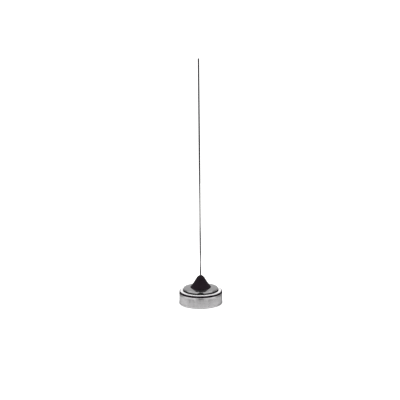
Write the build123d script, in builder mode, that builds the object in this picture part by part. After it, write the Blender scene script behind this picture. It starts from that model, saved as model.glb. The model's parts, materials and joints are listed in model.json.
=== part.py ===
from build123d import *

import os
from math import cos, pi, sin

# Quarter-wave mobile antenna that screws onto a roof mount. Sizes are in millimetres, +Z is up,
# and the origin is on the axis, at the foot of the rubber gasket that seals on the roof.

# Mounting thread, 1-1/8 inch across with 18 threads to the inch
thread_diameter = 28.575
threads_per_inch = 18
thread_length = 4.1
lead_in = 0.4
relief_depth = 0.1

# Gasket in the collar's foot
gasket_proud = 0.4
gasket_seat = 0.8
gasket_width = 2.0
gasket_side_gap = 0.1

# Collar
collar_wall = 3.7125
collar_height = 8.95
collar_lip = 1.6
top_chamfer = 0.2
foot_chamfer = 0.25
knurl_teeth = 96
knurl_depth = 0.3
knurl_inset = 0.1
knurl_crest_share = 0.3
knurl_foot_land = 1.2
knurl_top_land = 1.1

# Insulator, ring nut and its washer
flange_inset = 0.15
flange_thickness = 1.45
hub_height = 3.05
nut_washer_thickness = 0.3
nut_width = 1.95
nut_thread_gap = 0.55
nut_slots = 4
nut_slot_width = 2.2
nut_slot_depth = 0.7
moat_ribs = 6
moat_rib_width = 1.2
moat_wall = 1.4
moat_roof = 1.3
side_gap = 0.05

# O-rings, by the diameter of their cord
collar_seal_cord = 1.0
collar_seal_offset = 0.6
stud_seal_cord = 1.2
whip_seal_cord = 0.8
seal_gap = 0.02
seal_corner_share = 0.25

# Washers and disc on top of the insulator
trim_inset = 0.9
trim_thickness = 0.4
trim_edge_chamfer = 0.1
disc_gasket_radius = 14.8
disc_gasket_thickness = 1.0
disc_inset = 0.45
disc_rim_height = 1.3
disc_dome_rise = 0.6
disc_dome_bulge = 0.02
disc_edge_round = 0.12

# Sprung contact
contact_radius = 1.5
contact_tip_round = 0.9
contact_shoulder = 0.5
contact_shoulder_height = 0.7
contact_pip_radius = 1.1
contact_pip_height = 0.8
contact_tip_depth = 1.3
running_gap = 0.05
bush_height = 1.0
bush_wall = 0.55
spring_wire = 0.32
spring_radius = 1.5
spring_turns = 4.5
spring_length = 3.4
spring_end_gap = 0.02

# Stud, with its hexagonal head in the insulator
stud_wall = 1.15
stud_head_step = 0.8
stud_head_height = 1.4
stud_crown = 0.7
shank_radius = 2.0
shank_grip = 2.6
shoulder_drop = 0.3

# Ferrule and set screws
lock_washer_radius = 4.4
lock_washer_thickness = 0.5
lock_washer_teeth = 12
lock_washer_tooth = 0.8
ferrule_wall = 1.2
ferrule_neck_length = 1.5
ferrule_neck_wall = 1.3
ferrule_flat_depth = 0.45
ferrule_flat_height = 2.2
screw_radius = 1.2
screw_socket_width = 1.3
screw_socket_depth = 1.0
screw_recess = 0.2

# Cone over the ferrule
cone_base_radius = 8.6
cone_skirt = 0.2
cone_height = 10.3
cone_shoulder_radius = 3.3
cone_shoulder_drop = 2.0
cone_tip_radius = 0.95
cone_flare = 0.22
cone_crown = 0.15
cone_roof = 2.5
cone_skirt_wall = 3.0
cone_inner_slope = 1.35
cone_inner_gap = 0.3

# Whip
whip_radius = 0.65
whip_reach = 187.7
whip_tip_round = 0.6

# Radii that follow
thread_pitch = 25.4 / threads_per_inch
major_radius = thread_diameter / 2
pitch_radius = major_radius - 0.32476 * thread_pitch
minor_radius = major_radius - 0.54127 * thread_pitch
relief_radius = major_radius + relief_depth
collar_radius = major_radius + collar_wall
gasket_middle = major_radius + collar_wall / 2
nut_radius = minor_radius - nut_thread_gap
hub_radius = nut_radius - nut_width
flange_radius = collar_radius - flange_inset
trim_radius = collar_radius - trim_inset
disc_radius = disc_gasket_radius - disc_inset
contact_bore = contact_radius + contact_shoulder + running_gap
bush_radius = contact_bore + bush_wall
barrel_radius = contact_bore + stud_wall
head_width = 2 * (barrel_radius + stud_head_step)
ferrule_radius = shank_radius + ferrule_wall
neck_radius = whip_radius + ferrule_neck_wall

# Heights that follow
collar_foot = gasket_proud
collar_top = collar_foot + collar_height
relief_low = collar_foot + lead_in + thread_length
lip_low = collar_top - collar_lip
gasket_top = collar_foot + gasket_seat
flange_top = collar_top + flange_thickness
hub_low = collar_top - hub_height
nut_top = lip_low - nut_washer_thickness
trim_top = flange_top + trim_thickness
disc_low = trim_top + disc_gasket_thickness
disc_rim = disc_low + disc_rim_height
disc_top = disc_rim + disc_dome_rise
washer_top = disc_top + lock_washer_thickness
cone_top = disc_top + cone_height
ferrule_top = cone_top - cone_roof
ferrule_shoulder = ferrule_top - ferrule_neck_length
shank_top = washer_top + shank_grip
bush_top = hub_low + bush_height
contact_shoulder_top = bush_top + contact_shoulder_height
contact_tip = hub_low - contact_tip_depth
spring_top = contact_shoulder_top + spring_length
barrel_top = max(spring_top + stud_crown, disc_low - shoulder_drop)
whip_top = cone_top + whip_reach

os.makedirs("parts", exist_ok=True)


def polar(radius, turn):
    return (radius * cos(2 * pi * turn), radius * sin(2 * pi * turn))


def toothed_outline(teeth, crest_radius, root_radius, crest_share):
    """Points of a ring of teeth with flat crests and sharp roots."""
    points = []
    for tooth in range(teeth):
        points.append(polar(crest_radius, (tooth - crest_share / 2) / teeth))
        points.append(polar(crest_radius, (tooth + crest_share / 2) / teeth))
        points.append(polar(root_radius, (tooth + 0.5) / teeth))
    return points


def washer(inner_radius, outer_radius, low, high):
    """A flat ring between two heights, made inside the open part."""
    with BuildSketch(Plane.XY.offset(low)) as ring:
        Circle(outer_radius)
        Circle(inner_radius, mode=Mode.SUBTRACT)
    extrude(ring.sketch, amount=high - low)


def o_ring(cord, inner_radius, low):
    """A rubber ring squeezed flat where it bears on its seat, at the given height."""
    with BuildSketch(Plane.XZ) as section:
        with Locations((inner_radius + cord / 2, low + cord / 2)):
            Rectangle(cord, cord)
        chamfer(section.vertices(), cord * seal_corner_share)
    revolve(section.sketch, axis=Axis.Z)


# Rubber gasket, flat on the roof and seated in the collar's foot
with BuildPart() as mount_gasket:
    washer(gasket_middle - gasket_width / 2, gasket_middle + gasket_width / 2, 0, gasket_top)

# Collar: thread, relief above it, lip that the ring nut clamps, knurled outside
seal_groove_middle = relief_radius + collar_seal_offset + collar_seal_cord / 2
seal_groove_half = collar_seal_cord / 2 + gasket_side_gap
with BuildPart() as mounting_collar:
    with BuildSketch(Plane.XZ):
        Polygon(
            (pitch_radius + lead_in, collar_foot),
            (collar_radius - foot_chamfer, collar_foot),
            (collar_radius, collar_foot + foot_chamfer),
            (collar_radius, collar_top - top_chamfer),
            (collar_radius - top_chamfer, collar_top),
            (hub_radius + side_gap, collar_top),
            (hub_radius + side_gap, lip_low),
            (relief_radius, lip_low),
            (relief_radius, relief_low),
            (pitch_radius, relief_low),
            (pitch_radius, collar_foot + lead_in),
            align=None,
        )
    revolve(axis=Axis.Z)
    with BuildSketch(Plane.XY.offset(collar_foot)):
        Circle(gasket_middle + gasket_width / 2 + gasket_side_gap)
        Circle(gasket_middle - gasket_width / 2 - gasket_side_gap, mode=Mode.SUBTRACT)
    extrude(amount=gasket_seat, mode=Mode.SUBTRACT)
    with BuildSketch(Plane.XY.offset(collar_top)):
        Circle(seal_groove_middle + seal_groove_half)
        Circle(seal_groove_middle - seal_groove_half, mode=Mode.SUBTRACT)
    extrude(amount=-collar_seal_cord, mode=Mode.SUBTRACT)
    knurl_low = collar_foot + knurl_foot_land
    knurl_high = collar_top - top_chamfer - knurl_top_land
    crest_radius = collar_radius - knurl_inset
    root_radius = crest_radius - knurl_depth
    with BuildSketch(Plane.XY.offset(knurl_low)):
        Circle(collar_radius + knurl_depth)
        Polygon(
            *toothed_outline(knurl_teeth, crest_radius, root_radius, knurl_crest_share),
            align=None,
            mode=Mode.SUBTRACT,
        )
    extrude(amount=knurl_high - knurl_low, mode=Mode.SUBTRACT)

# O-ring between the collar and the insulator's flange
with BuildPart() as collar_seal:
    o_ring(
        collar_seal_cord,
        seal_groove_middle - collar_seal_cord / 2,
        collar_top - collar_seal_cord,
    )

# Insulator: flange over the collar, hub through it, ribbed from below to an even wall
barrel_hole = barrel_radius + side_gap
pocket_width = head_width + 4 * side_gap
pocket_top = hub_low + stud_head_height
moat_inner = pocket_width / 2 / cos(pi / 6) + moat_wall
moat_outer = hub_radius - moat_wall
stud_seal_inner = barrel_radius + seal_gap
stud_seal_seat = stud_seal_inner + stud_seal_cord + gasket_side_gap
with BuildPart() as insulator:
    with BuildSketch(Plane.XY.offset(hub_low)):
        Circle(hub_radius)
    extrude(amount=flange_top - hub_low)
    with BuildSketch(Plane.XY.offset(collar_top)):
        Circle(flange_radius)
    extrude(amount=flange_thickness)
    with BuildSketch(Plane.XY.offset(hub_low)):
        Circle(barrel_hole)
    extrude(amount=flange_top - hub_low, mode=Mode.SUBTRACT)
    with BuildSketch(Plane.XY.offset(hub_low)):
        RegularPolygon(pocket_width / 2, 6, major_radius=False)
    extrude(amount=stud_head_height, mode=Mode.SUBTRACT)
    with BuildSketch(Plane.XY.offset(flange_top)):
        Circle(stud_seal_seat)
    extrude(amount=-stud_seal_cord, mode=Mode.SUBTRACT)
    with BuildSketch(Plane.XY.offset(hub_low)):
        Circle(moat_outer)
        Circle(moat_inner, mode=Mode.SUBTRACT)
        with PolarLocations((moat_inner + moat_outer) / 2, moat_ribs, start_angle=30):
            Rectangle(2 * (moat_outer - moat_inner), moat_rib_width, mode=Mode.SUBTRACT)
    extrude(amount=flange_top - moat_roof - hub_low, mode=Mode.SUBTRACT)

# O-ring round the stud, under the trim flange
with BuildPart() as stud_o_ring:
    o_ring(stud_seal_cord, stud_seal_inner, flange_top - stud_seal_cord)

# Washer between the ring nut and the collar's lip
with BuildPart() as nut_washer:
    washer(hub_radius + 2 * side_gap, nut_radius, nut_top, lip_low)

# Ring nut on the hub, slotted for a pin spanner
with BuildPart() as retaining_nut:
    washer(hub_radius + side_gap, nut_radius, hub_low, nut_top)
    with BuildSketch(Plane.XY.offset(hub_low)):
        with PolarLocations(nut_radius - nut_width / 2, nut_slots):
            Rectangle(2 * nut_width, nut_slot_width)
    extrude(amount=nut_slot_depth, mode=Mode.SUBTRACT)

# Thin bright flange washer, with broken edges
with BuildPart() as trim_flange:
    washer(barrel_hole, trim_radius, flange_top, trim_top)
    rims = trim_flange.edges().filter_by(lambda edge: edge.is_closed)
    chamfer(rims.group_by(SortBy.RADIUS)[-1], trim_edge_chamfer)

# Rubber washer under the disc
with BuildPart() as disc_gasket:
    washer(barrel_hole, disc_gasket_radius, trim_top, disc_low)

# Polished disc: flat under the cone, then domed down to its rim
with BuildPart() as top_disc:
    with BuildSketch(Plane.XZ):
        with BuildLine():
            Polyline(
                (disc_radius, disc_rim),
                (disc_radius, disc_low),
                (shank_radius + 4 * side_gap, disc_low),
                (shank_radius + 4 * side_gap, disc_top),
                (cone_base_radius, disc_top),
            )
            SagittaArc((cone_base_radius, disc_top), (disc_radius, disc_rim), disc_dome_bulge)
        make_face()
    revolve(axis=Axis.Z)
    rims = top_disc.edges().filter_by(lambda edge: edge.is_closed)
    fillet(rims.group_by(SortBy.RADIUS)[-1].sort_by(Axis.Z)[-1], disc_edge_round)

# Brass stud: hexagonal head, bored barrel for the contact, solid threaded shank
with BuildPart() as centre_stud:
    with BuildSketch(Plane.XY.offset(hub_low)):
        RegularPolygon(head_width / 2, 6, major_radius=False)
    extrude(amount=stud_head_height)
    with BuildSketch(Plane.XY.offset(hub_low)):
        Circle(barrel_radius)
    extrude(amount=barrel_top - hub_low)
    with BuildSketch(Plane.XY.offset(barrel_top)):
        Circle(shank_radius)
    extrude(amount=shank_top - barrel_top)
    with BuildSketch(Plane.XY.offset(hub_low)):
        Circle(contact_bore)
    extrude(amount=spring_top - hub_low, mode=Mode.SUBTRACT)
    with BuildSketch(Plane.XY.offset(hub_low)):
        Circle(bush_radius + side_gap)
    extrude(amount=bush_height, mode=Mode.SUBTRACT)

# Bush that keeps the plunger in the stud
with BuildPart() as contact_bush:
    washer(contact_radius + running_gap, bush_radius, hub_low, bush_top)

# Plunger: rounded tip, shoulder that rests on the bush, pip inside the spring
with BuildPart() as contact_plunger:
    with BuildSketch(Plane.XY.offset(contact_tip)):
        Circle(contact_radius)
    extrude(amount=bush_top - contact_tip)
    fillet(contact_plunger.edges().group_by(Axis.Z)[0], contact_tip_round)
    with BuildSketch(Plane.XY.offset(bush_top)):
        Circle(contact_radius + contact_shoulder)
    extrude(amount=contact_shoulder_height)
    with BuildSketch(Plane.XY.offset(contact_shoulder_top)):
        Circle(contact_pip_radius)
    extrude(amount=contact_pip_height)

# Coil spring between the plunger's shoulder and the end of the bore, with an eight-sided wire
coil_low = contact_shoulder_top + spring_end_gap + spring_wire / 2
coil_high = spring_top - spring_end_gap - spring_wire / 2
with BuildPart() as contact_spring:
    with BuildLine() as coil:
        Helix((coil_high - coil_low) / spring_turns, coil_high - coil_low, spring_radius,
              center=(0, 0, coil_low))
    with BuildSketch(Plane(origin=coil.line @ 0, z_dir=coil.line % 0)):
        RegularPolygon(spring_wire / 2, 8)
    sweep(path=coil.line, is_frenet=True)

# Toothed lock washer under the ferrule
with BuildPart() as lock_washer:
    with BuildSketch(Plane.XY.offset(disc_top)):
        Polygon(
            *toothed_outline(
                lock_washer_teeth, lock_washer_radius, lock_washer_radius - lock_washer_tooth, 0.5
            ),
            align=None,
        )
        Circle(shank_radius + 2 * side_gap, mode=Mode.SUBTRACT)
    extrude(amount=lock_washer_thickness)

# Ferrule on the stud's shank: barrel with spanner flats, neck, whip bore, screw holes
screw_height = (shank_top + ferrule_shoulder) / 2
with BuildPart() as whip_ferrule:
    with BuildSketch(Plane.XY.offset(washer_top)):
        Circle(ferrule_radius)
    extrude(amount=ferrule_shoulder - washer_top)
    with BuildSketch(Plane.XY.offset(ferrule_shoulder)):
        Circle(neck_radius)
    extrude(amount=ferrule_neck_length)
    with BuildSketch(Plane.XY.offset(washer_top)):
        with PolarLocations(ferrule_radius, 2, start_angle=90):
            Rectangle(2 * ferrule_flat_depth, 2 * ferrule_radius)
    extrude(amount=ferrule_flat_height, mode=Mode.SUBTRACT)
    with BuildSketch(Plane.XY.offset(washer_top)):
        Circle(shank_radius + side_gap)
    extrude(amount=shank_grip, mode=Mode.SUBTRACT)
    with BuildSketch(Plane.XY.offset(shank_top)):
        Circle(whip_radius + side_gap)
    extrude(amount=ferrule_top - shank_top, mode=Mode.SUBTRACT)
    with BuildSketch(Plane.YZ.offset(-ferrule_radius)):
        with Locations((0, screw_height)):
            Circle(screw_radius + side_gap)
    extrude(amount=2 * ferrule_radius, mode=Mode.SUBTRACT)

# Two socket set screws, opposite each other, against the whip
screw_inner = whip_radius + seal_gap
screw_outer = ferrule_radius - screw_recess
with BuildPart() as set_screws:
    for side in (1, -1):
        with BuildSketch(Plane(origin=(side * screw_inner, 0, screw_height), z_dir=(side, 0, 0))):
            Circle(screw_radius)
        extrude(amount=screw_outer - screw_inner)
        with BuildSketch(Plane(origin=(side * screw_outer, 0, screw_height), z_dir=(side, 0, 0))):
            RegularPolygon(screw_socket_width / 2, 6, major_radius=False)
        extrude(amount=-screw_socket_depth, mode=Mode.SUBTRACT)

# O-ring round the whip, on the ferrule's neck
whip_seal_inner = whip_radius + seal_gap
whip_seal_seat = whip_seal_inner + whip_seal_cord + gasket_side_gap
with BuildPart() as whip_seal:
    o_ring(whip_seal_cord, whip_seal_inner, ferrule_top)

# Moulded cone: flared skirt, rounded crown, stepped hollow for the ferrule
shoulder_height = cone_top - cone_shoulder_drop
skirt_top = disc_top + cone_skirt
with BuildPart() as cone_cap:
    with BuildSketch(Plane.XZ):
        with BuildLine():
            Line((0, disc_top), (cone_base_radius, disc_top))
            Line((cone_base_radius, disc_top), (cone_base_radius, skirt_top))
            SagittaArc(
                (cone_base_radius, skirt_top), (cone_shoulder_radius, shoulder_height), cone_flare
            )
            SagittaArc(
                (cone_shoulder_radius, shoulder_height), (cone_tip_radius, cone_top), -cone_crown
            )
            Line((cone_tip_radius, cone_top), (0, cone_top))
            Line((0, cone_top), (0, disc_top))
        make_face()
    revolve(axis=Axis.Z)
    hollow_base = max(cone_base_radius - cone_skirt_wall, lock_washer_radius + cone_inner_gap)
    hollow_radius = ferrule_radius + cone_inner_gap
    hollow_foot_top = washer_top + 2 * cone_inner_gap
    hollow_slope_top = hollow_foot_top + cone_inner_slope * (hollow_base - hollow_radius)
    with BuildSketch(Plane.XZ):
        Polygon(
            (0, disc_top),
            (hollow_base, disc_top),
            (hollow_base, hollow_foot_top),
            (hollow_radius, hollow_slope_top),
            (hollow_radius, ferrule_shoulder + cone_inner_gap),
            (neck_radius + cone_inner_gap, ferrule_shoulder + cone_inner_gap),
            (neck_radius + cone_inner_gap, ferrule_top + side_gap),
            (whip_seal_seat, ferrule_top + side_gap),
            (whip_seal_seat, ferrule_top + whip_seal_cord + side_gap),
            (whip_radius + side_gap, ferrule_top + whip_seal_cord + side_gap),
            (whip_radius + side_gap, cone_top),
            (0, cone_top),
            align=None,
        )
    revolve(axis=Axis.Z, mode=Mode.SUBTRACT)

# Whip, standing on the stud's end, with a rounded tip
with BuildPart() as whip_rod:
    with BuildSketch(Plane.XY.offset(shank_top)):
        Circle(whip_radius)
    extrude(amount=whip_top - shank_top)
    fillet(whip_rod.edges().group_by(Axis.Z)[-1], whip_tip_round)

pieces = {
    "mount_gasket": mount_gasket,
    "mounting_collar": mounting_collar,
    "collar_seal": collar_seal,
    "insulator": insulator,
    "stud_o_ring": stud_o_ring,
    "nut_washer": nut_washer,
    "retaining_nut": retaining_nut,
    "trim_flange": trim_flange,
    "disc_gasket": disc_gasket,
    "top_disc": top_disc,
    "centre_stud": centre_stud,
    "contact_bush": contact_bush,
    "contact_plunger": contact_plunger,
    "contact_spring": contact_spring,
    "lock_washer": lock_washer,
    "whip_ferrule": whip_ferrule,
    "set_screws": set_screws,
    "whip_seal": whip_seal,
    "cone_cap": cone_cap,
    "whip_rod": whip_rod,
}
for name, piece in pieces.items():
    piece.part.label = name
    export_step(piece.part, f"parts/{name}.step")
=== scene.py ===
import json
from math import cos, pi, radians, sin

import bpy
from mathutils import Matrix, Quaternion, Vector


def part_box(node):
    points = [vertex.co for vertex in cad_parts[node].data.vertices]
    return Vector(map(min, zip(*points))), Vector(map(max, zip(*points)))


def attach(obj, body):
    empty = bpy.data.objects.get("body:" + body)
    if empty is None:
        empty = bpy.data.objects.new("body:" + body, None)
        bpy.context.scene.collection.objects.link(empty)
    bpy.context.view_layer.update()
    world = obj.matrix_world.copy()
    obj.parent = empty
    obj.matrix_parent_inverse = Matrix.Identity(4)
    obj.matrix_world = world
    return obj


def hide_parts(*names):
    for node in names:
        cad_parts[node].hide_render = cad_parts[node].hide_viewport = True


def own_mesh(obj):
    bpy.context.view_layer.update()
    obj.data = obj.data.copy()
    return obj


# Metres, with +Z up. The origin is on the antenna's axis, on the floor.

# Camera: the photograph shows 0.8333 mm per pixel, from far away and a little above
picture_width = 0.33333
camera_distance = 12.0
camera_elevation = 15.75
camera_roll = 0.56
aim_height = 0.0895
aim_side = 0.00013
sensor_width = 36.0

# Floor: a round white sheet, just under the gasket. Its glow keeps the antenna's shadow faint.
sheet_sides = 128
floor_radius = 0.37
floor_drop = 0.00002
floor_glow = 0.4

# Painted reflections that the metal mirrors in place of the floor, as rings of light and dark:
# (distance from the axis, how bright it is there)
mirrored_radius = 0.8
painted_reflection_rings = (
    (0.0, 1.0), (0.06, 1.0), (0.08, 0.5), (0.09, 0.05), (0.105, 0.15), (0.118, 1.0),
    (0.139, 1.0), (0.146, 0.2), (0.218, 0.1), (0.235, 0.9), (0.31, 1.0), (0.36, 0.3),
    (0.42, 0.12), (0.47, 0.0), (0.51, 0.0), (0.55, 0.0), (0.62, 0.1), (0.8, 0.15),
)

# A painted shadow on it: a dark patch in front, which fades from the inner to the outer share of
# its half size
painted_shadow_middle = -0.0572
painted_shadow_width = 0.038
painted_shadow_length = 0.053
painted_shadow_inner = 0.5
painted_shadow_outer = 1.2
painted_shadow_light = 0.06

# Painted shade on it: how much darker it gets along this way, from in front of the antenna to
# behind it
painted_shade_way = (0.15, 0.99, 0)
painted_shade_start = -0.014
painted_shade_end = 0.0
painted_shade_light = 0.4

# White behind the object, a little over-exposed, so that edges come out crisp as in the photograph
white_light = 1.3

# Room round the object: (height of the direction, from -1 below to 1 above, how bright it is there)
room_lights = (
    (-1, 0.08), (-0.05, 0.1), (0.05, 0.64), (0.5, 0.68), (0.64, 1.0), (0.74, 1.75),
    (0.9, 1.75), (0.97, 1.3), (1, 1.2),
)

# A soft square lamp on each side
lamp_places = {"left": (-0.9, -0.4, 0.25), "right": (0.9, -0.4, 0.25)}
lamp_side = 0.5
lamp_radiance = 2.5

# Mounting thread in the collar, 1-1/8 inch across with 18 threads to the inch. Shares of the pitch
# say how far the pitch and minor radii lie inside the major one, and give half the width of the
# ridge's root and crest.
thread_diameter = 0.028575
thread_pitch = 0.0254 / 18
thread_low = 0.0008
thread_high = 0.0049
pitch_radius_share = 0.32476
minor_radius_share = 0.54127
thread_root_share = 0.25
thread_crest_share = 0.125
thread_steps = 128
thread_fade_steps = thread_steps // 6

# Spring: its wire and its coil
wire_radius = 0.00016
coil_radius = 0.0015
coil_turns = 4.5
wire_sides = 12
coil_steps = 40

# The part of a noise's range that holds most of its values
noise_low = 0.3
noise_high = 0.7

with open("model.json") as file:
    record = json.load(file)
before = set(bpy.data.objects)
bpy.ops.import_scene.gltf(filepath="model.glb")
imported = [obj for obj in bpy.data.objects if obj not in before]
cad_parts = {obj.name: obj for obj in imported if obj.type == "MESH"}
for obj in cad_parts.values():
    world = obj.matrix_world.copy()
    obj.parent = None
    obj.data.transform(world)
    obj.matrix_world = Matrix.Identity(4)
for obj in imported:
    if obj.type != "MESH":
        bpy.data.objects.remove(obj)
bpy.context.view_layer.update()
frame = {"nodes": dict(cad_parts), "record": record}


def principled(material):
    return material.node_tree.nodes["Principled BSDF"]


def new_material(name, colour, metallic, roughness, specular=0.5, ior=1.45):
    """A material with a Principled shader and its constant values."""
    material = bpy.data.materials.new(name)
    material.use_nodes = True
    shader = principled(material)
    shader.inputs["Base Color"].default_value = (*colour, 1)
    shader.inputs["Metallic"].default_value = metallic
    shader.inputs["Roughness"].default_value = roughness
    shader.inputs["Specular IOR Level"].default_value = specular
    shader.inputs["IOR"].default_value = ior
    return material


def add_node(material, kind, **inputs):
    """A node in the material's tree, with values for the inputs named."""
    node = material.node_tree.nodes.new(kind)
    for name, value in inputs.items():
        node.inputs[name.replace("_", " ")].default_value = value
    return node


def add_vector_math(material, operation):
    node = add_node(material, "ShaderNodeVectorMath")
    node.operation = operation
    return node


def link(material, source, target):
    material.node_tree.links.new(source, target)


def object_place(material, stretch=(1, 1, 1)):
    """Where a point is on the part, in metres, stretched along each axis."""
    place = add_node(material, "ShaderNodeTexCoord")
    mapping = add_node(material, "ShaderNodeMapping", Scale=stretch)
    link(material, place.outputs["Object"], mapping.inputs["Vector"])
    return mapping.outputs["Vector"]


def turned_place(material):
    """Radius and height of a point, so that a noise on it makes the rings that a lathe leaves."""
    place = add_node(material, "ShaderNodeTexCoord")
    split = add_node(material, "ShaderNodeSeparateXYZ")
    flat = add_node(material, "ShaderNodeCombineXYZ")
    length = add_vector_math(material, "LENGTH")
    ring = add_node(material, "ShaderNodeCombineXYZ")
    link(material, place.outputs["Object"], split.inputs["Vector"])
    link(material, split.outputs["X"], flat.inputs["X"])
    link(material, split.outputs["Y"], flat.inputs["Y"])
    link(material, flat.outputs["Vector"], length.inputs[0])
    link(material, length.outputs["Value"], ring.inputs["X"])
    link(material, split.outputs["Z"], ring.inputs["Y"])
    return ring.outputs["Vector"]


def grain(material, place, size):
    """Noise whose features are about that size in metres."""
    noise = add_node(material, "ShaderNodeTexNoise", Scale=1 / size, Detail=3.0, Roughness=0.6)
    link(material, place, noise.inputs["Vector"])
    return noise.outputs["Fac"]


def spread(material, amount, low, high):
    """The noise's middle range, stretched to run from low to high."""
    node = add_node(
        material,
        "ShaderNodeMapRange",
        From_Min=noise_low,
        From_Max=noise_high,
        To_Min=low,
        To_Max=high,
    )
    link(material, amount, node.inputs["Value"])
    return node.outputs["Result"]


def vary_colour(material, amount, dark, light):
    mix = add_node(material, "ShaderNodeMix")
    mix.data_type = "RGBA"
    colours = [socket for socket in mix.inputs if socket.type == "RGBA"]
    colours[0].default_value = (*dark, 1)
    colours[1].default_value = (*light, 1)
    link(material, spread(material, amount, 0, 1), mix.inputs["Factor"])
    result = [socket for socket in mix.outputs if socket.type == "RGBA"][0]
    link(material, result, principled(material).inputs["Base Color"])


def vary_roughness(material, amount, low, high):
    link(material, spread(material, amount, low, high), principled(material).inputs["Roughness"])


def raise_grain(material, amount, depth):
    """Bump of that depth in metres."""
    bump = add_node(material, "ShaderNodeBump", Strength=1.0, Distance=depth)
    link(material, amount, bump.inputs["Height"])
    link(material, bump.outputs["Normal"], principled(material).inputs["Normal"])


# Finishes: each varies in colour and roughness, and most have a fine grain, of the sizes given.
def satin_nickel():
    material = new_material("satin_nickel", (0.56, 0.556, 0.56), 1, 0.31)
    principled(material).inputs["Specular Tint"].default_value = (0.5, 0.49, 0.5, 1)
    place = object_place(material)
    vary_colour(
        material, grain(material, place, 0.0035), (0.51, 0.502, 0.507), (0.61, 0.601, 0.606)
    )
    vary_roughness(material, grain(material, place, 0.0012), 0.26, 0.36)
    raise_grain(material, grain(material, place, 0.00012), 0.000004)
    return material


def polished_chrome():
    material = new_material("polished_chrome", (0.41, 0.407, 0.41), 1, 0.06)
    rings = turned_place(material)
    vary_colour(
        material, grain(material, rings, 0.0009), (0.38, 0.3735, 0.381), (0.44, 0.4325, 0.441)
    )
    vary_roughness(material, grain(material, rings, 0.0005), 0.03, 0.09)
    return material


def satin_chrome():
    material = new_material("satin_chrome", (0.9, 0.89, 0.9), 1, 0.68)
    rings = turned_place(material)
    vary_colour(material, grain(material, rings, 0.0008), (0.88, 0.87, 0.88), (0.94, 0.93, 0.94))
    vary_roughness(material, grain(material, rings, 0.0003), 0.62, 0.74)
    raise_grain(material, grain(material, rings, 0.00015), 0.000003)
    return material


def black_moulding():
    material = new_material("black_moulding", (0.008, 0.0035, 0.007), 0, 0.5, ior=1.18)
    place = object_place(material)
    vary_colour(
        material, grain(material, place, 0.002), (0.006, 0.0025, 0.005), (0.01, 0.0045, 0.009)
    )
    vary_roughness(material, grain(material, place, 0.0006), 0.45, 0.58)
    raise_grain(material, grain(material, place, 0.00025), 0.000008)
    return material


def black_rubber():
    material = new_material("black_rubber", (0.006, 0.006, 0.006), 0, 0.7, ior=1.18)
    place = object_place(material)
    vary_colour(
        material, grain(material, place, 0.0015), (0.005, 0.005, 0.005), (0.009, 0.009, 0.009)
    )
    vary_roughness(material, grain(material, place, 0.0008), 0.62, 0.78)
    raise_grain(material, grain(material, place, 0.0002), 0.000006)
    return material


def stainless():
    material = new_material("stainless", (0.38, 0.37, 0.37), 1, 0.1)
    drawn = object_place(material, (1, 1, 0.02))
    vary_colour(material, grain(material, drawn, 0.0002), (0.34, 0.33, 0.33), (0.41, 0.4, 0.4))
    vary_roughness(material, grain(material, drawn, 0.00015), 0.07, 0.13)
    return material


def brass():
    material = new_material("brass", (0.72, 0.5, 0.22), 1, 0.25)
    rings = turned_place(material)
    vary_colour(material, grain(material, rings, 0.0006), (0.62, 0.42, 0.17), (0.74, 0.52, 0.24))
    vary_roughness(material, grain(material, rings, 0.0004), 0.2, 0.32)
    raise_grain(material, grain(material, rings, 0.00015), 0.000003)
    return material


def contact_plate():
    material = new_material("contact_plate", (0.85, 0.62, 0.27), 1, 0.15)
    place = object_place(material)
    vary_colour(material, grain(material, place, 0.0008), (0.8, 0.57, 0.23), (0.88, 0.66, 0.31))
    vary_roughness(material, grain(material, place, 0.0004), 0.12, 0.2)
    return material


def dark_steel():
    material = new_material("dark_steel", (0.07, 0.07, 0.075), 1, 0.4)
    place = object_place(material)
    vary_colour(material, grain(material, place, 0.0006), (0.05, 0.05, 0.055), (0.1, 0.1, 0.105))
    vary_roughness(material, grain(material, place, 0.0003), 0.35, 0.48)
    return material


finishes = {
    "satin_nickel": satin_nickel(),
    "polished_chrome": polished_chrome(),
    "satin_chrome": satin_chrome(),
    "black_moulding": black_moulding(),
    "black_rubber": black_rubber(),
    "stainless": stainless(),
    "brass": brass(),
    "contact_plate": contact_plate(),
    "dark_steel": dark_steel(),
}


def dress_nodes():
    """Every solid takes the finish that the record names for it."""
    for part in frame["record"]["subparts"]:
        mesh = frame["nodes"][part["node"]].data
        mesh.materials.clear()
        mesh.materials.append(finishes[part["material_slot"]])


def new_piece(name, points, faces, finish, body):
    """A smooth mesh piece that rides on a body."""
    mesh = bpy.data.meshes.new(name)
    mesh.from_pydata(points, [], faces)
    mesh.materials.append(finishes[finish])
    mesh.shade_smooth()
    piece = bpy.data.objects.new(name, mesh)
    bpy.context.scene.collection.objects.link(piece)
    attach(piece, body)
    return piece


def grid_faces(rows, columns, closed):
    """Four-sided faces between neighbouring rows of points."""
    faces = []
    for row in range(rows - 1):
        for column in range(columns if closed else columns - 1):
            after = (column + 1) % columns
            faces.append((
                row * columns + column,
                row * columns + after,
                (row + 1) * columns + after,
                (row + 1) * columns + column,
            ))
    return faces


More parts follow.
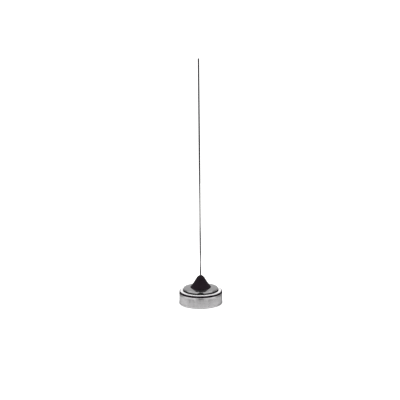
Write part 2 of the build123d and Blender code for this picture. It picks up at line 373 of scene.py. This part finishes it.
def thread_ridges():
    """The collar's internal thread: one right-handed ridge up the wall, fading out at its ends."""
    wall = thread_diameter / 2 - pitch_radius_share * thread_pitch
    depth = wall - (thread_diameter / 2 - minor_radius_share * thread_pitch)
    root_half = thread_pitch * thread_root_share
    crest_half = thread_pitch * thread_crest_share
    low = thread_low + root_half
    turns = (thread_high - root_half - low) / thread_pitch
    steps = int(turns * thread_steps)
    points = []
    for step in range(steps + 1):
        angle = 2 * pi * turns * step / steps
        height = low + thread_pitch * turns * step / steps
        rise = min(1, step / thread_fade_steps, (steps - step) / thread_fade_steps)
        for offset, inset in (
            (-root_half, 0),
            (-crest_half, depth * rise),
            (crest_half, depth * rise),
            (root_half, 0),
        ):
            radius = wall - inset
            points.append((radius * cos(angle), radius * sin(angle), height + offset))
    faces = grid_faces(steps + 1, 4, closed=False)
    new_piece("thread_ridges", points, faces, "satin_nickel", "antenna")


def round_spring():
    """The contact's spring in round wire, in the place of the plainer solid."""
    low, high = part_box("contact_spring")
    bottom = low.z + wire_radius
    rise = high.z - wire_radius - bottom
    steps = int(coil_turns * coil_steps)
    points = []
    for step in range(steps + 1):
        angle = 2 * pi * coil_turns * step / steps
        outward = Vector((cos(angle), sin(angle), 0))
        centre = outward * coil_radius + Vector((0, 0, bottom + rise * step / steps))
        for side in range(wire_sides):
            turn = 2 * pi * side / wire_sides
            upward = Vector((0, 0, wire_radius * sin(turn)))
            points.append(centre + outward * wire_radius * cos(turn) + upward)
    faces = grid_faces(steps + 1, wire_sides, closed=True)
    faces.append(tuple(range(wire_sides)))
    faces.append(tuple(steps * wire_sides + side for side in reversed(range(wire_sides))))
    spring = new_piece("round_spring", points, faces, "stainless", "antenna")
    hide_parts("contact_spring")
    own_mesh(spring)


def set_stops(ramp, stops):
    """Grey stops of a colour ramp, from places and values in order."""
    marks = ramp.elements
    while len(marks) < len(stops):
        marks.new(0.5)
    for mark, (place, light) in zip(marks, stops):
        mark.position = place
        mark.color = (light, light, light, 1)


def softbox(name, place):
    """A soft lamp that the camera doesn't see, turned to the antenna's foot."""
    lamp = bpy.data.lights.new(name, "AREA")
    lamp.shape = "RECTANGLE"
    lamp.size = lamp_side
    lamp.size_y = lamp_side
    lamp.energy = lamp_radiance * pi * lamp_side**2
    box = bpy.data.objects.new(name, lamp)
    box.location = place
    box.rotation_mode = "QUATERNION"
    box.rotation_quaternion = (-Vector(place)).to_track_quat("-Z", "Y")
    box.visible_camera = False
    bpy.context.scene.collection.objects.link(box)


def studio_world():
    """White behind the object, and a soft grey room for what the metal mirrors."""
    world = bpy.data.worlds.new("studio")
    world.use_nodes = True
    bpy.context.scene.world = world
    nodes, links = world.node_tree.nodes, world.node_tree.links
    nodes.clear()
    place = nodes.new("ShaderNodeTexCoord")
    split = nodes.new("ShaderNodeSeparateXYZ")
    half = nodes.new("ShaderNodeMapRange")
    half.inputs["From Min"].default_value = -1
    ramp = nodes.new("ShaderNodeValToRGB")
    set_stops(ramp.color_ramp, [((rise + 1) / 2, light) for rise, light in room_lights])
    room = nodes.new("ShaderNodeBackground")
    white = nodes.new("ShaderNodeBackground")
    white.inputs["Color"].default_value = (1, 1, 1, 1)
    white.inputs["Strength"].default_value = white_light
    path = nodes.new("ShaderNodeLightPath")
    mix = nodes.new("ShaderNodeMixShader")
    output = nodes.new("ShaderNodeOutputWorld")
    links.new(place.outputs["Generated"], split.inputs["Vector"])
    links.new(split.outputs["Z"], half.inputs["Value"])
    links.new(half.outputs["Result"], ramp.inputs["Fac"])
    links.new(ramp.outputs["Color"], room.inputs["Color"])
    links.new(path.outputs["Is Camera Ray"], mix.inputs["Fac"])
    links.new(room.outputs["Background"], mix.inputs[1])
    links.new(white.outputs["Background"], mix.inputs[2])
    links.new(mix.outputs["Shader"], output.inputs["Surface"])


def show_from_above(material, surface):
    """The surface shows on the sheet's upper side only, so that a view from below isn't blocked."""
    side = add_node(material, "ShaderNodeNewGeometry")
    clear = add_node(material, "ShaderNodeBsdfTransparent")
    mix = add_node(material, "ShaderNodeMixShader")
    output = add_node(material, "ShaderNodeOutputMaterial")
    output.is_active_output = True
    link(material, side.outputs["Backfacing"], mix.inputs["Fac"])
    link(material, surface, mix.inputs[1])
    link(material, clear.outputs["BSDF"], mix.inputs[2])
    link(material, mix.outputs["Shader"], output.inputs["Surface"])


def round_sheet(name, radius, height, material):
    """A flat round sheet that casts no shadow."""
    rim = []
    for step in range(sheet_sides):
        turn = 2 * pi * step / sheet_sides
        rim.append((radius * cos(turn), radius * sin(turn), height))
    mesh = bpy.data.meshes.new(name)
    mesh.from_pydata(rim, [], [tuple(range(sheet_sides))])
    mesh.materials.append(material)
    sheet = bpy.data.objects.new(name, mesh)
    sheet.visible_shadow = False
    bpy.context.scene.collection.objects.link(sheet)
    return sheet


def studio_floor():
    """The white card that the camera sees."""
    material = new_material("floor_card", (0.9, 0.9, 0.9), 0, 0.9, specular=0.0)
    shader = principled(material)
    shader.inputs["Emission Color"].default_value = (1, 1, 1, 1)
    shader.inputs["Emission Strength"].default_value = floor_glow
    material.node_tree.nodes.remove(material.node_tree.nodes["Material Output"])
    show_from_above(material, shader.outputs["BSDF"])
    sheet = round_sheet("floor", floor_radius, -floor_drop, material)
    sheet.visible_glossy = False
    sheet.visible_diffuse = False


def painted_reflection_floor():
    """What the antenna mirrors in place of the floor: a sheet that glows and that the camera
    doesn't see. Its rings of light and dark are painted reflections, its dark patch in front is a
    painted shadow, and its darkening to the rear is painted shade.
    """
    material = bpy.data.materials.new("painted_reflection_floor")
    material.use_nodes = True
    material.node_tree.nodes.clear()
    place = add_node(material, "ShaderNodeTexCoord").outputs["Object"]
    glow = add_node(material, "ShaderNodeEmission")

    # Painted reflections: rings of light and dark round the axis
    distance = add_vector_math(material, "LENGTH")
    share = add_node(material, "ShaderNodeMapRange", From_Max=mirrored_radius)
    ramp = add_node(material, "ShaderNodeValToRGB")
    stops = [(radius / mirrored_radius, light) for radius, light in painted_reflection_rings]
    set_stops(ramp.color_ramp, stops)
    link(material, place, distance.inputs[0])
    link(material, distance.outputs["Value"], share.inputs["Value"])
    link(material, share.outputs["Result"], ramp.inputs["Fac"])
    link(material, ramp.outputs["Color"], glow.inputs["Color"])

    # Painted shadow: a dark patch in front
    shift = add_node(
        material,
        "ShaderNodeMapping",
        Location=(0, -2 * painted_shadow_middle / painted_shadow_length, 0),
        Scale=(2 / painted_shadow_width, 2 / painted_shadow_length, 1),
    )
    away = add_vector_math(material, "LENGTH")
    painted_shadow = add_node(
        material,
        "ShaderNodeMapRange",
        From_Min=painted_shadow_inner,
        From_Max=painted_shadow_outer,
        To_Min=painted_shadow_light,
        To_Max=1,
    )
    painted_shadow.interpolation_type = "SMOOTHSTEP"
    link(material, place, shift.inputs["Vector"])
    link(material, shift.outputs["Vector"], away.inputs[0])
    link(material, away.outputs["Value"], painted_shadow.inputs["Value"])

    # Painted shade: darker towards the rear
    depth = add_vector_math(material, "DOT_PRODUCT")
    depth.inputs[1].default_value = painted_shade_way
    painted_rear_shade = add_node(
        material,
        "ShaderNodeMapRange",
        From_Min=painted_shade_start,
        From_Max=painted_shade_end,
        To_Min=1,
        To_Max=painted_shade_light,
    )
    painted_rear_shade.interpolation_type = "SMOOTHSTEP"
    link(material, place, depth.inputs[0])
    link(material, depth.outputs["Value"], painted_rear_shade.inputs["Value"])

    strength = add_node(material, "ShaderNodeMath")
    strength.operation = "MULTIPLY"
    link(material, painted_shadow.outputs["Result"], strength.inputs[0])
    link(material, painted_rear_shade.outputs["Result"], strength.inputs[1])
    link(material, strength.outputs["Value"], glow.inputs["Strength"])

    show_from_above(material, glow.outputs["Emission"])
    sheet = round_sheet("painted_reflection_floor", mirrored_radius, -2 * floor_drop, material)
    sheet.visible_camera = False


def studio_camera():
    """The photograph's view: from the front and far away, the whip leaning a little to the left."""
    camera = bpy.data.objects.new("camera", bpy.data.cameras.new("camera"))
    camera.data.sensor_width = sensor_width
    camera.data.lens = sensor_width * camera_distance / picture_width
    camera.data.clip_end = 3 * camera_distance
    rise = radians(camera_elevation)
    back = Vector((0, -cos(rise), sin(rise)))
    camera.location = Vector((aim_side, 0, aim_height)) + back * camera_distance
    camera.rotation_mode = "QUATERNION"
    lean = Quaternion(back, radians(-camera_roll))
    camera.rotation_quaternion = lean @ (-back).to_track_quat("-Z", "Y")
    bpy.context.scene.collection.objects.link(camera)
    bpy.context.scene.camera = camera


dress_nodes()
thread_ridges()
round_spring()
studio_floor()
painted_reflection_floor()
studio_world()
for lamp_name, lamp_place in lamp_places.items():
    softbox(lamp_name, lamp_place)
studio_camera()
bpy.context.scene.view_settings.view_transform = "Standard"
